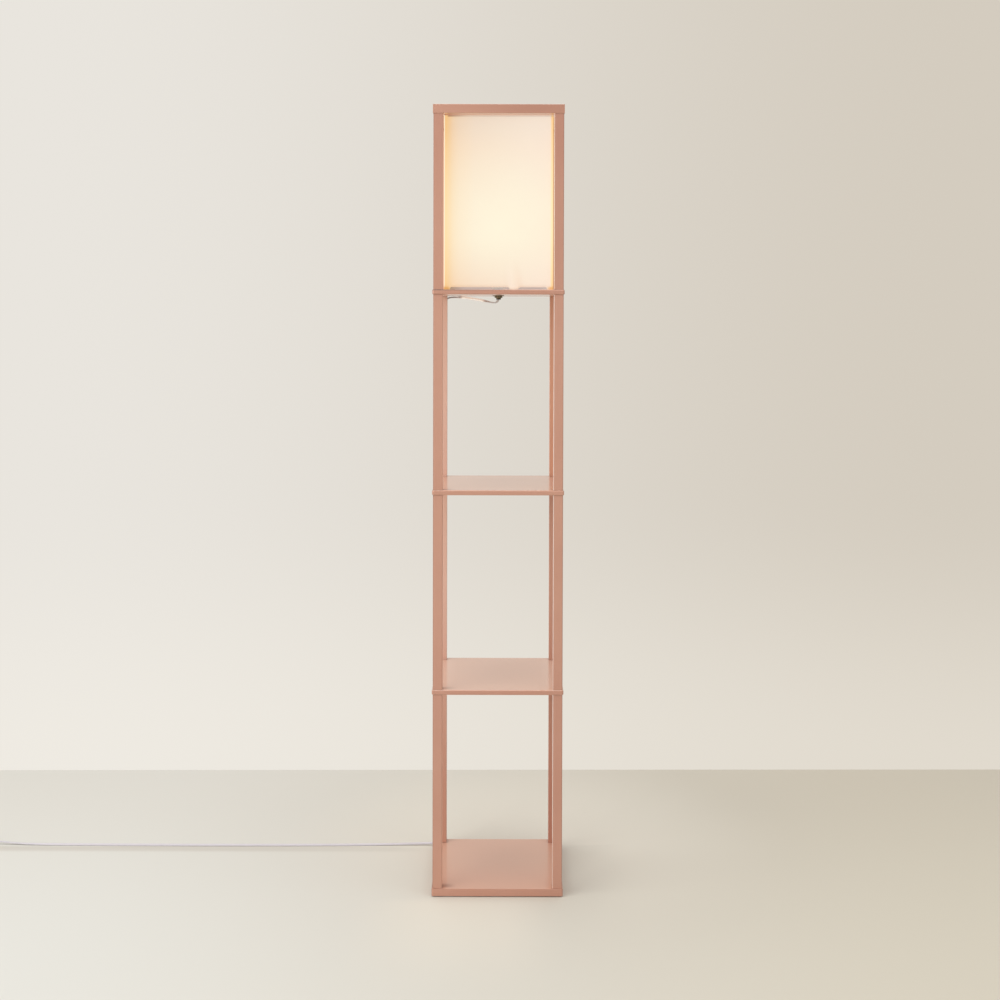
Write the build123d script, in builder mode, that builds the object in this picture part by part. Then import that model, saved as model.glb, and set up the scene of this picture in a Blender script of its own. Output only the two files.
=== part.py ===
"""Shelf floor lamp: posts and open shelves carry a lit sleeve of thin sheet under an open top frame.

Millimetres, +Z up, the front faces -Y. The origin is on the floor under the middle of the column.
"""

import math
import os

from build123d import *

os.makedirs("parts", exist_ok=True)

# Driving dimensions: the painted frame
post_size = 19.0
post_span = 260.0  # outer face of one post to the outer face of the next
post_edge = 1.0  # easing of a post's long edges
bay_height = 391.0  # each of the three open bays
lantern_height = 350.0  # the bay that holds the sleeve
board_corner = 3.5  # seen from above
shelf_thickness = 10.0
shelf_overhang = 2.0  # past the posts, all round
shelf_edge = 2.5  # rounding of a shelf's rim
base_thickness = 15.0
base_overhang = 2.0
base_edge = 0.8
rail_height = 18.0
rail_overhang = 1.0
rail_edge = 0.8
pad_radius = 10.0
pad_thickness = 1.5
pad_inset = 33.0  # from the base's edge to a pad's middle

# Driving dimensions: what holds the frame together
hole_clearance = 0.15  # between a fastener and its hole, all round
hole_end_gap = 0.5  # past a fastener's end
stud_radius = 3.0
stud_grip = 20.0  # length inside each post
stud_chamfer = 0.6
base_screw_radius = 2.5
base_screw_head = 5.0
base_screw_grip = 30.0
top_screw_radius = 2.0
top_screw_head = 4.0
top_screw_grip = 28.0
screw_point = 3.0
dowel_radius = 2.0
dowel_in_front_rail = 10.0
dowel_in_side_rail = 14.0
dowel_wall = 1.2  # wood left between a dowel and the screw beside it

# Driving dimensions: the sleeve
shade_play = 1.2  # between the sleeve and the posts' inner faces
sheet_thickness = 1.0
shade_fold = 2.5  # outer radius of a folded corner
shade_leg = 12.0  # width of the leg left at each side of a corner
shade_lower_cut = 5.0
shade_upper_cut = 3.0
shade_cut_slope = 2.0
shade_tab_width = 20.0  # the tongue that reaches the shelf in front
shade_tab_place = 26.0  # to the right of the middle
shade_flap = 16.0  # glued lap at a rear corner
tightest_fold = 0.5  # inner radius, however thick the sheet is
seat_gap = 0.3  # under what only rests in its place
shade_head_gap = 0.6

# Driving dimensions: lamp holder and bulb
nipple_radius = 5.0
nipple_bore = 3.7
nipple_end = 2.0  # past the lower nut
washer_radius = 12.0
washer_thickness = 1.2
nut_flats = 14.0  # across the flats
nut_thickness = 3.5
bushing_flange = 1.5
bushing_length = 6.0
holder_radius = 19.0
holder_wall = 1.8
cap_neck_radius = 12.0
cap_height = 15.0
cap_shoulder = 8.0  # height at which the cap is full width
holder_spigot = 5.0
holder_floor = 5.0
holder_edge = 0.9
liner_clearance = 0.15
liner_wall = 0.5
thread_pitch = 3.63
thread_turns = 5
thread_depth = 0.9
bulb_thread_radius = 13.0
thread_clearance = 0.35
contact_thickness = 0.6
contact_rise = 3.0
contact_width = 6.0
contact_reach = 9.0  # from the middle to the end of its foot
contact_heel = 3.0  # from the middle to where the slope begins
contact_knee = 1.5  # from the middle to where the slope ends
tip_radius = 4.5
tip_height = 1.5
tip_edge = 0.7
insulator_height = 4.0
insulator_radius = 11.0
collar_height = 3.0
bulb_radius = 30.0
bulb_neck_radius = 12.6
bulb_neck_height = 13.0
bulb_cone_angle = 30.0
bulb_glass_wall = 1.0
bulb_neck_blend = 18.0

# Driving dimensions: cord, clips, foot switch and plug
cord_radius = 2.6
cord_lift = 0.3  # under the cord where it lies on the floor
cord_off_rims = 0.4  # between the cord and the shelves' rims in front of it
cord_in_bushing = 4.0
cord_straight = 8.0  # at each end of a bent stretch
cord_hang = 62.0  # height of the bent stretch under the lamp shelf
floor_start_z = 45.0  # where the cord leaves the post and turns to the floor
clip_wall = 1.5
clip_clearance = 0.15
clip_height = 9.0
clip_plate_width = 13.0
clip_mouth = 3.6
clip_drop = 70.0  # from a shelf's underside to the clip below it
relief_length = 20.0
relief_root = 4.6
relief_tip = 3.3
switch_length = 62.0
switch_width = 32.0
switch_height = 16.0
switch_plate = 2.5
switch_wall = 2.0
switch_edge = 4.0
switch_axis = 7.0  # height of the cord through the switch
button_radius = 10.0
button_clearance = 0.4
button_flange = 1.5
button_travel = 3.0
button_proud = 2.0  # what stands above the cover when it is pressed down
button_edge = 1.6
plug_width = 24.0
plug_thickness = 14.0
plug_length = 26.0
plug_edge = 3.0
plug_neck = 20.0
plug_neck_width = 14.0  # where the neck meets the body
plug_neck_thickness = 10.0
plug_shoulder = 19.0  # width of the body where the neck meets it
plug_reach = 26.0  # from the coil's last turn to the plug
plug_aside = 1.5  # beside that turn
blade_length = 17.0
blade_thickness = 1.5
blade_width = 6.35
wide_blade_width = 7.9
blade_spacing = 12.7
blade_hole = 1.5
blade_hole_place = 3.0  # from the blade's end

# Heights and centres that follow from them
base_top = pad_thickness + base_thickness
lower_shelf_z = base_top + bay_height
middle_shelf_z = lower_shelf_z + shelf_thickness + bay_height
lamp_shelf_z = middle_shelf_z + shelf_thickness + bay_height
lantern_floor = lamp_shelf_z + shelf_thickness
rail_z = lantern_floor + lantern_height
total_height = rail_z + rail_height
post_centre = (post_span - post_size) / 2
inner_span = post_span - 2 * post_size
corners = {
    "front_left": (-post_centre, -post_centre),
    "front_right": (post_centre, -post_centre),
    "rear_left": (-post_centre, post_centre),
    "rear_right": (post_centre, post_centre),
}


# ---------------------------------------------------------------- painted frame


def make_post(name, centre, foot_z, length, foot_hole, head_hole):
    """A square stick with eased edges. Each hole is (fastener's radius, its length in the post)."""
    foot = Plane((centre[0], centre[1], foot_z))
    with BuildPart() as post:
        with BuildSketch(foot):
            RectangleRounded(post_size, post_size, post_edge)
        extrude(amount=length)
        for end, (radius, grip), inward in ((foot, foot_hole, 1), (foot.offset(length), head_hole, -1)):
            with BuildSketch(end):
                Circle(radius + hole_clearance)
            extrude(amount=inward * (grip + hole_end_gap), mode=Mode.SUBTRACT)
    post.part.label = name
    export_step(post.part, f"parts/{name}.step")


stud_hole = (stud_radius, stud_grip)
base_screw_hole = (base_screw_radius, base_screw_grip)
top_screw_hole = (top_screw_radius, top_screw_grip)
storeys = {
    "lower_post": (base_top, bay_height, base_screw_hole, stud_hole),
    "middle_post": (lower_shelf_z + shelf_thickness, bay_height, stud_hole, stud_hole),
    "upper_post": (middle_shelf_z + shelf_thickness, bay_height, stud_hole, stud_hole),
    "lantern_post": (lantern_floor, lantern_height, stud_hole, top_screw_hole),
}
for storey, (foot_z, length, foot_hole, head_hole) in storeys.items():
    for corner, centre in corners.items():
        make_post(f"{storey}_{corner}", centre, foot_z, length, foot_hole, head_hole)


def make_shelf(name, shelf_z, middle_hole=0.0):
    """A square board with a rounded rim and a stud hole over each post."""
    side = post_span + 2 * shelf_overhang
    rim = min(shelf_edge, 0.45 * shelf_thickness, 0.8 * board_corner)
    with BuildPart() as shelf:
        with BuildSketch(Plane.XY.offset(shelf_z)):
            RectangleRounded(side, side, board_corner)
        extrude(amount=shelf_thickness)
        faces = shelf.faces().sort_by(Axis.Z)
        fillet(faces[0].edges() + faces[-1].edges(), rim)
        with BuildSketch(Plane.XY.offset(shelf_z)):
            with Locations(*corners.values()):
                Circle(stud_radius + hole_clearance)
            if middle_hole:
                Circle(middle_hole)
        extrude(amount=shelf_thickness, mode=Mode.SUBTRACT)
    shelf.part.label = name
    export_step(shelf.part, f"parts/{name}.step")


make_shelf("lower_shelf", lower_shelf_z)
make_shelf("middle_shelf", middle_shelf_z)
make_shelf("lamp_shelf", lamp_shelf_z, middle_hole=nipple_radius + hole_clearance)


def make_studs(name, shelf_z):
    """Four steel studs, each through the shelf into the post below and the post above."""
    with BuildPart() as studs:
        with BuildSketch(Plane.XY.offset(shelf_z - stud_grip)):
            with Locations(*corners.values()):
                Circle(stud_radius)
        extrude(amount=shelf_thickness + 2 * stud_grip)
        chamfer(studs.edges().filter_by(GeomType.CIRCLE), stud_chamfer)
    studs.part.label = name
    export_step(studs.part, f"parts/{name}.step")


make_studs("lower_studs", lower_shelf_z)
make_studs("middle_studs", middle_shelf_z)
make_studs("upper_studs", lamp_shelf_z)

# The base is drawn from its underside, where the screws go in.
underside = Plane((0, 0, pad_thickness), x_dir=(1, 0, 0), z_dir=(0, 0, -1))
base_side = post_span + 2 * base_overhang
with BuildPart(underside) as base_board:
    with BuildSketch(underside):
        RectangleRounded(base_side, base_side, board_corner)
    extrude(amount=-base_thickness)
    base_faces = base_board.faces().sort_by(Axis.Z)
    fillet(base_faces[0].edges() + base_faces[-1].edges(), base_edge)
    with Locations(*corners.values()):
        CounterSinkHole(
            radius=base_screw_radius + hole_clearance,
            counter_sink_radius=base_screw_head + hole_clearance,
            depth=base_thickness,
            counter_sink_angle=90,
        )
base_board.part.label = "base_board"
export_step(base_board.part, "parts/base_board.step")

pad_spacing = base_side - 2 * pad_inset
with BuildPart() as foot_pads:
    with BuildSketch(Plane.XY):
        with GridLocations(pad_spacing, pad_spacing, 2, 2):
            Circle(pad_radius)
    extrude(amount=pad_thickness)
foot_pads.part.label = "foot_pads"
export_step(foot_pads.part, "parts/foot_pads.step")

# Top frame: the front and rear rails run the full width, the side rails butt between them.
rail_length = post_span + 2 * rail_overhang
rail_width = post_size + rail_overhang  # flush with the posts inside
rail_centre = (post_span - rail_width) / 2 + rail_overhang
rail_top = Plane.XY.offset(total_height)
dowel_x = post_centre - top_screw_radius - dowel_radius - 2 * hole_clearance - dowel_wall
dowel_z = rail_z + rail_height / 2
for name, side in (("top_rail_front", -1), ("top_rail_rear", 1)):
    joint_face = Plane((0, side * inner_span / 2, dowel_z), x_dir=(1, 0, 0), z_dir=(0, side, 0))
    with BuildPart(rail_top) as cross_rail:
        with BuildSketch(rail_top):
            with Locations((0, side * rail_centre)):
                Rectangle(rail_length, rail_width)
        extrude(amount=-rail_height)
        fillet(cross_rail.edges().filter_by(Axis.X), rail_edge)
        with Locations((-post_centre, side * post_centre), (post_centre, side * post_centre)):
            CounterSinkHole(
                radius=top_screw_radius + hole_clearance,
                counter_sink_radius=top_screw_head + hole_clearance,
                depth=rail_height,
                counter_sink_angle=90,
            )
        with BuildSketch(joint_face):
            with Locations((-dowel_x, 0), (dowel_x, 0)):
                Circle(dowel_radius + hole_clearance)
        extrude(amount=dowel_in_front_rail + hole_end_gap, mode=Mode.SUBTRACT)
    cross_rail.part.label = name
    export_step(cross_rail.part, f"parts/{name}.step")

for name, side in (("top_rail_left", -1), ("top_rail_right", 1)):
    with BuildPart() as side_rail:
        with BuildSketch(rail_top):
            with Locations((side * rail_centre, 0)):
                Rectangle(rail_width, inner_span)
        extrude(amount=-rail_height)
        fillet(side_rail.edges().filter_by(Axis.Y), rail_edge)
        for end in (-1, 1):
            end_face = Plane((0, end * inner_span / 2, dowel_z), x_dir=(1, 0, 0), z_dir=(0, -end, 0))
            with BuildSketch(end_face):
                with Locations((side * dowel_x, 0)):
                    Circle(dowel_radius + hole_clearance)
            extrude(amount=dowel_in_side_rail + hole_end_gap, mode=Mode.SUBTRACT)
    side_rail.part.label = name
    export_step(side_rail.part, f"parts/{name}.step")

dowel_length = dowel_in_front_rail + dowel_in_side_rail
with BuildPart() as top_dowels:
    for end in (-1, 1):
        outer_end = end * (inner_span / 2 + dowel_in_front_rail)
        with BuildSketch(Plane((0, outer_end, dowel_z), x_dir=(1, 0, 0), z_dir=(0, -end, 0))):
            with Locations((-dowel_x, 0), (dowel_x, 0)):
                Circle(dowel_radius)
        extrude(amount=dowel_length)
top_dowels.part.label = "top_dowels"
export_step(top_dowels.part, "parts/top_dowels.step")


def make_screws(name, head_z, inward, head_radius, shank_radius, shank_length):
    """Four countersunk wood screws, one on each post's axis. inward is 1 for up and -1 for down."""
    with BuildPart() as screws:
        for x, y in corners.values():
            with BuildSketch(Plane((x, y, head_z), x_dir=(1, 0, 0), z_dir=(0, -inward, 0))):
                with BuildLine():
                    Polyline(
                        (0, 0),
                        (head_radius, 0),
                        (shank_radius, head_radius - shank_radius),
                        (shank_radius, shank_length - screw_point),
                        (0, shank_length),
                        close=True,
                    )
                make_face()
            revolve(axis=Axis((x, y, head_z), (0, 0, 1)))
    screws.part.label = name
    export_step(screws.part, f"parts/{name}.step")


make_screws(
    "base_screws",
    pad_thickness,
    1,
    base_screw_head,
    base_screw_radius,
    base_thickness + base_screw_grip,
)
make_screws(
    "top_screws",
    total_height,
    -1,
    top_screw_head,
    top_screw_radius,
    rail_height + top_screw_grip,
)

# ---------------------------------------------------------------- sleeve

# One sheet folded round four corners. Its corners stand on the shelf as legs, and between them
# the edges are cut back, so that air passes under and over the sheet.
shade_side = inner_span - 2 * shade_play
shade_z = lantern_floor + seat_gap
shade_height = lantern_height - seat_gap - shade_head_gap
shade_inside = shade_side - 2 * sheet_thickness
cut_half = shade_side / 2 - shade_leg
shade_top = shade_z + shade_height


with BuildPart() as shade_sleeve:
    with BuildSketch(Plane.XY.offset(shade_z)):
        RectangleRounded(shade_side, shade_side, shade_fold)
        RectangleRounded(
            shade_inside, shade_inside, max(shade_fold - sheet_thickness, tightest_fold), mode=Mode.SUBTRACT
        )
        with Locations((shade_flap / 2 - shade_inside / 2, shade_inside / 2 - sheet_thickness / 2)):
            Rectangle(shade_flap, sheet_thickness)
    extrude(amount=shade_height)
    # cut back below and above, across the whole sleeve both ways
    for edge_z, depth in ((shade_z, shade_lower_cut), (shade_top, -shade_upper_cut)):
        for sheet_plane in (Plane.XZ, Plane.YZ):
            with BuildSketch(sheet_plane):
                with BuildLine():
                    Polyline(
                        (-cut_half, edge_z),
                        (cut_half, edge_z),
                        (cut_half - shade_cut_slope, edge_z + depth),
                        (shade_cut_slope - cut_half, edge_z + depth),
                        close=True,
                    )
                make_face()
            extrude(amount=shade_side, both=True, mode=Mode.SUBTRACT)
    # the short tongue under the front sheet
    front_sheet = Plane((0, -shade_side / 2, shade_z), x_dir=(1, 0, 0), z_dir=(0, -1, 0))
    with BuildSketch(front_sheet):
        with BuildLine():
            Polyline(
                (shade_tab_place - shade_tab_width / 2, 0),
                (shade_tab_place + shade_tab_width / 2, 0),
                (shade_tab_place + shade_tab_width / 2 + shade_cut_slope, shade_lower_cut),
                (shade_tab_place - shade_tab_width / 2 - shade_cut_slope, shade_lower_cut),
                close=True,
            )
        make_face()
    extrude(amount=-sheet_thickness)
shade_sleeve.part.label = "shade_sleeve"
export_step(shade_sleeve.part, "parts/shade_sleeve.step")

# ---------------------------------------------------------------- lamp holder

# A threaded nipple through the shelf carries the holder above and lets the cord out below.
washer_z = lamp_shelf_z - washer_thickness
lower_nut_z = washer_z - nut_thickness
nipple_z = lower_nut_z - nipple_end
holder_z = lantern_floor + nut_thickness
nipple_length = holder_z + holder_wall + holder_spigot - nipple_z

with BuildPart() as threaded_nipple:
    with BuildSketch(Plane.XY.offset(nipple_z)):
        Circle(nipple_radius)
        Circle(nipple_bore, mode=Mode.SUBTRACT)
    extrude(amount=nipple_length)
threaded_nipple.part.label = "threaded_nipple"
export_step(threaded_nipple.part, "parts/threaded_nipple.step")

with BuildPart() as nipple_washer:
    with BuildSketch(Plane.XY.offset(washer_z)):
        Circle(washer_radius)
        Circle(nipple_radius + hole_clearance, mode=Mode.SUBTRACT)
    extrude(amount=washer_thickness)
nipple_washer.part.label = "nipple_washer"
export_step(nipple_washer.part, "parts/nipple_washer.step")

for name, nut_z in (("lower_lock_nut", lower_nut_z), ("upper_lock_nut", lantern_floor)):
    with BuildPart() as lock_nut:
        with BuildSketch(Plane.XY.offset(nut_z)):
            RegularPolygon(nut_flats / 2, 6, major_radius=False)
            Circle(nipple_radius + hole_clearance, mode=Mode.SUBTRACT)
        extrude(amount=nut_thickness)
    lock_nut.part.label = name
    export_step(lock_nut.part, f"parts/{name}.step")

# Plastic bushing in the nipple's lower end, so that its edge doesn't cut the cord.
bushing_z = nipple_z - bushing_flange
bushing_bore = cord_radius + clip_clearance
with BuildPart() as cord_bushing:
    with BuildSketch(Plane.XY.offset(bushing_z)):
        Circle(nipple_radius)
    extrude(amount=bushing_flange)
    with BuildSketch(Plane.XY.offset(nipple_z)):
        Circle(nipple_bore - hole_clearance)
    extrude(amount=bushing_length)
    with BuildSketch(Plane.XY.offset(bushing_z)):
        Circle(bushing_bore)
    extrude(amount=bushing_flange + bushing_length, mode=Mode.SUBTRACT)
cord_bushing.part.label = "cord_bushing"
export_step(cord_bushing.part, "parts/cord_bushing.step")

# Cup that screws onto the nipple and closes the holder's underside.
cap_bore = nipple_radius + hole_clearance
with BuildPart() as holder_cap:
    with BuildSketch(Plane.XZ):
        with BuildLine():
            Polyline(
                (cap_bore, holder_z),
                (cap_neck_radius, holder_z),
                (holder_radius, holder_z + cap_shoulder),
                (holder_radius, holder_z + cap_height),
                (holder_radius - holder_wall, holder_z + cap_height),
                (holder_radius - holder_wall, holder_z + cap_shoulder + holder_wall / 2),
                (cap_neck_radius - holder_wall / 2, holder_z + holder_wall),
                (cap_bore, holder_z + holder_wall),
                close=True,
            )
        make_face()
    revolve(axis=Axis.Z)
holder_cap.part.label = "holder_cap"
export_step(holder_cap.part, "parts/holder_cap.step")

# Moulded holder body with a spigot that plugs into the cap.
body_z = holder_z + cap_height
thread_length = thread_pitch * thread_turns
liner_radius = bulb_thread_radius + thread_clearance
liner_outside = liner_radius + thread_depth + liner_wall
liner_z = body_z + holder_floor
tip_z = liner_z + contact_thickness + contact_rise + seat_gap
thread_z = tip_z + tip_height + insulator_height
collar_z = thread_z + thread_length
liner_height = collar_z - liner_z
holder_bore = liner_outside + liner_clearance
with BuildPart() as holder_body:
    with BuildSketch(Plane.XY.offset(body_z - holder_spigot)):
        Circle(holder_radius - holder_wall - hole_clearance)
    extrude(amount=holder_spigot)
    with BuildSketch(Plane.XY.offset(body_z)):
        Circle(holder_radius)
    extrude(amount=collar_z - body_z)
    fillet(holder_body.edges().group_by(Axis.Z)[-1], holder_edge)
    with BuildSketch(Plane.XY.offset(liner_z)):
        Circle(holder_bore)
    extrude(amount=liner_height, mode=Mode.SUBTRACT)
holder_body.part.label = "holder_body"
export_step(holder_body.part, "parts/holder_body.step")


def thread_outline(inner_radius, outer_radius, start_z, turns):
    """Rounded ridges seen from the side, from start_z up, bulging from inner_radius to outer_radius."""
    for turn in range(turns):
        ridge_z = start_z + turn * thread_pitch
        ThreePointArc(
            (inner_radius, ridge_z),
            (outer_radius, ridge_z + thread_pitch / 2),
            (inner_radius, ridge_z + thread_pitch),
        )


# Aluminium liner that the bulb screws into, seated on the body's floor.
with BuildPart() as screw_liner:
    with BuildSketch(Plane.XZ):
        with BuildLine():
            Line((liner_radius, collar_z), (liner_outside, collar_z))
            Line((liner_outside, collar_z), (liner_outside, liner_z))
            Line((liner_outside, liner_z), (liner_radius, liner_z))
            Line((liner_radius, liner_z), (liner_radius, thread_z))
            thread_outline(liner_radius, liner_radius + thread_depth, thread_z, thread_turns)
        make_face()
    revolve(axis=Axis.Z)
screw_liner.part.label = "screw_liner"
export_step(screw_liner.part, "parts/screw_liner.step")

# Brass leaf that presses up under the bulb's tip: a foot on the floor, a slope and a flat end.
with BuildPart() as centre_contact:
    with BuildSketch(Plane.XZ):
        with BuildLine():
            Polyline(
                (-contact_reach, liner_z),
                (-contact_heel, liner_z),
                (-contact_knee, liner_z + contact_rise),
                (contact_heel, liner_z + contact_rise),
                (contact_heel, liner_z + contact_rise + contact_thickness),
                (-contact_knee - contact_thickness, liner_z + contact_rise + contact_thickness),
                (-contact_heel - contact_thickness, liner_z + contact_thickness),
                (-contact_reach, liner_z + contact_thickness),
                close=True,
            )
        make_face()
    extrude(amount=contact_width / 2, both=True)
centre_contact.part.label = "centre_contact"
export_step(centre_contact.part, "parts/centre_contact.step")

# ---------------------------------------------------------------- bulb

with BuildPart() as bulb_tip:
    with BuildSketch(Plane.XY.offset(tip_z)):
        Circle(tip_radius)
    extrude(amount=tip_height)
    fillet(bulb_tip.edges().group_by(Axis.Z)[0], tip_edge)
bulb_tip.part.label = "bulb_tip"
export_step(bulb_tip.part, "parts/bulb_tip.step")

insulator_z = tip_z + tip_height
with BuildPart() as bulb_insulator:
    with BuildSketch(Plane.XY.offset(insulator_z)):
        Circle(tip_radius)
    with BuildSketch(Plane.XY.offset(thread_z)):
        Circle(insulator_radius)
    loft()
bulb_insulator.part.label = "bulb_insulator"
export_step(bulb_insulator.part, "parts/bulb_insulator.step")

with BuildPart() as bulb_cap:
    root_radius = bulb_thread_radius - thread_depth
    glass_z = collar_z + collar_height
    with BuildSketch(Plane.XZ):
        with BuildLine():
            Line((0, thread_z), (root_radius, thread_z))
            thread_outline(root_radius, bulb_thread_radius, thread_z, thread_turns)
            Polyline(
                (root_radius, collar_z),
                (bulb_thread_radius, collar_z),
                (bulb_thread_radius, glass_z),
                (0, glass_z),
                (0, thread_z),
            )
        make_face()
    revolve(axis=Axis.Z)
bulb_cap.part.label = "bulb_cap"
export_step(bulb_cap.part, "parts/bulb_cap.step")

# Pear-shaped glass: a straight neck, a cone that runs on into the ball, open at the cap.
lean = math.radians(bulb_cone_angle)
cone_rise = (bulb_radius * math.cos(lean) - bulb_neck_radius) / math.tan(lean)
ball_z = glass_z + bulb_neck_height + cone_rise + bulb_radius * math.sin(lean)
shoulder = (bulb_radius * math.cos(lean), ball_z - bulb_radius * math.sin(lean))
with BuildPart() as bulb_glass:
    with BuildSketch(Plane.XZ) as outline:
        with BuildLine():
            Polyline(
                (0, ball_z + bulb_radius),
                (0, glass_z),
                (bulb_neck_radius, glass_z),
                (bulb_neck_radius, glass_z + bulb_neck_height),
                shoulder,
            )
            ThreePointArc(shoulder, (bulb_radius, ball_z), (0, ball_z + bulb_radius))
        make_face()
        neck_corner = outline.vertices().sort_by_distance(
            Vector(bulb_neck_radius, glass_z + bulb_neck_height)
        )[0]
        fillet(neck_corner, bulb_neck_blend)
    revolve(axis=Axis.Z)
    offset(amount=-bulb_glass_wall, openings=bulb_glass.faces().sort_by(Axis.Z)[0])
bulb_glass.part.label = "bulb_glass"
export_step(bulb_glass.part, "parts/bulb_glass.step")

# ---------------------------------------------------------------- cord

clip_x = -post_centre
cord_back = post_span / 2 + shelf_overhang + cord_off_rims + cord_radius
floor_z = cord_radius + cord_lift
hang_end_z = lamp_shelf_z - cord_hang

# Under the lamp shelf, from the bushing to the back of the rear left post.
hanging_route = [
    (0.0, 0.0, bushing_z + cord_in_bushing),
    (0.0, 0.0, 1193.5),
    (-14.0, 15.0, 1193.5),
    (-42.0, 48.0, 1198.5),
    (-70.0, 82.0, 1204.5),
    (-91.0, 112.0, 1206.2),
    (-103.0, 132.0, 1205.0),
    (-113.0, 142.0, 1197.0),
    (-119.0, 143.0, 1182.0),
    (-120.3, 138.5, 1168.0),
    (clip_x, cord_back, hang_end_z + cord_straight),
    (clip_x, cord_back, hang_end_z),
]
# From behind the rear left post along the floor to the foot switch.
switch_tip_x = -1114.0
floor_route = [
    (clip_x, cord_back, floor_start_z),
    (clip_x, cord_back, floor_start_z - cord_straight),
    (-124.5, 136.3, 22.0),
    (-139.0, 137.3, 9.5),
    (-166.0, 138.0, 4.6),
    (-206.0, 137.6, floor_z),
    (-290.0, 136.0, floor_z + 0.05),
    (-560.0, 134.6, floor_z),
    (-840.0, 137.0, floor_z + 0.05),
    (-1010.0, 138.6, floor_z),
    (-1062.0, 138.0, 3.6),
    (switch_tip_x + 2 * cord_straight, 137.5, switch_axis),
    (switch_tip_x, 137.5, switch_axis),
]
corner_share = 0.45  # of the shorter run beside a corner


def corner_radii(points):
    """The largest arc that each corner's two runs leave room for."""
    radii = []
    for before, corner, after in zip(points, points[1:], points[2:]):
        run_in = Vector(*corner) - Vector(*before)
        run_out = Vector(*after) - Vector(*corner)
        half_turn = math.radians(run_in.get_angle(run_out)) / 2
        radii.append(corner_share * min(run_in.length, run_out.length) / math.tan(half_turn))
    return radii


for name, points in (("cord_hanging", hanging_route), ("cord_floor", floor_route)):
    radii = corner_radii(points)
    with BuildPart() as cord:
        with BuildLine() as route:
            FilletPolyline(*points, radius=radii)
        path = route.wire()
        with BuildSketch(Plane(path @ 0, z_dir=path % 0)):
            Circle(cord_radius)
        sweep()
    cord.part.label = name
    export_step(cord.part, f"parts/{name}.step")
    tube_volume = math.pi * cord_radius**2 * path.length
    print(f"{name}: {path.length:.0f} mm, radii {[round(r, 1) for r in radii]}")
    print(f"  volume {cord.part.volume:.0f}, section times length {tube_volume:.0f}")

# The straight stretch held behind the rear left post.
with BuildPart() as cord_clipped:
    with BuildSketch(Plane((clip_x, cord_back, floor_start_z))):
        Circle(cord_radius)
    extrude(amount=hang_end_z - floor_start_z)
cord_clipped.part.label = "cord_clipped"
export_step(cord_clipped.part, "parts/cord_clipped.step")

# Clips below each shelf and above the base, stuck on the post's rear face.
clip_heights = [
    base_top + clip_drop,
    lower_shelf_z - clip_drop,
    middle_shelf_z - clip_drop,
    lamp_shelf_z - clip_drop - clip_height,
]
post_back = post_span / 2
clip_plate = cord_back - cord_radius - clip_clearance - clip_wall / 2 - post_back
clip_bore = cord_radius + clip_clearance
with BuildPart() as cord_clips:
    for clip_z in clip_heights:
        with BuildSketch(Plane((clip_x, post_back, clip_z))):
            with Locations((0, clip_plate / 2)):
                Rectangle(clip_plate_width, clip_plate)
            with Locations((0, cord_back - post_back)):
                Circle(clip_bore + clip_wall)
            with Locations((0, cord_back - post_back)):
                Circle(clip_bore, mode=Mode.SUBTRACT)
            with Locations((-clip_bore - clip_wall / 2, cord_back - post_back)):
                Rectangle(2 * clip_wall, clip_mouth, mode=Mode.SUBTRACT)
            with Locations((0, -clip_wall)):
                Rectangle(clip_plate_width, 2 * clip_wall, mode=Mode.SUBTRACT)
        extrude(amount=clip_height)
cord_clips.part.label = "cord_clips"
export_step(cord_clips.part, "parts/cord_clips.step")

# ---------------------------------------------------------------- foot switch

switch_y = floor_route[-1][1]
switch_x = switch_tip_x - relief_length - switch_length / 2
with BuildPart() as switch_base:
    with BuildSketch(Plane((switch_x, switch_y, 0))):
        SlotOverall(switch_length, switch_width)
    extrude(amount=switch_plate)
switch_base.part.label = "switch_base"
export_step(switch_base.part, "parts/switch_base.step")

with BuildPart() as switch_cover:
    with BuildSketch(Plane((switch_x, switch_y, switch_plate))):
        SlotOverall(switch_length, switch_width)
    extrude(amount=switch_height - switch_plate)
    fillet(switch_cover.faces().sort_by(Axis.Z)[-1].edges(), switch_edge)
    offset(amount=-switch_wall, openings=switch_cover.faces().sort_by(Axis.Z)[0])
    with BuildSketch(Plane((switch_x, switch_y, switch_height))):
        Circle(button_radius + button_clearance)
    extrude(amount=-2 * switch_wall, mode=Mode.SUBTRACT)
switch_cover.part.label = "switch_cover"
export_step(switch_cover.part, "parts/switch_cover.step")

# The button's flange stays under the cover and stops it from falling out.
flange_z = switch_height - switch_wall - seat_gap - button_flange
button_stand = button_travel + button_proud
with BuildPart() as switch_button:
    with BuildSketch(Plane((switch_x, switch_y, flange_z))):
        Circle(button_radius + switch_wall)
    extrude(amount=button_flange)
    with BuildSketch(Plane((switch_x, switch_y, flange_z + button_flange))):
        Circle(button_radius)
    extrude(amount=seat_gap + switch_wall + button_stand)
    fillet(switch_button.edges().group_by(Axis.Z)[-1], button_edge)
switch_button.part.label = "switch_button"
export_step(switch_button.part, "parts/switch_button.step")

with BuildPart() as switch_reliefs:
    for end in (-1, 1):
        root = Plane(
            (switch_x + end * switch_length / 2, switch_y, switch_axis),
            x_dir=(0, 1, 0),
            z_dir=(end, 0, 0),
        )
        with BuildSketch(root):
            Circle(relief_root)
        with BuildSketch(root.offset(relief_length)):
            Circle(relief_tip)
        loft()
switch_reliefs.part.label = "switch_reliefs"
export_step(switch_reliefs.part, "parts/switch_reliefs.step")

# ---------------------------------------------------------------- coil and plug

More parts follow.
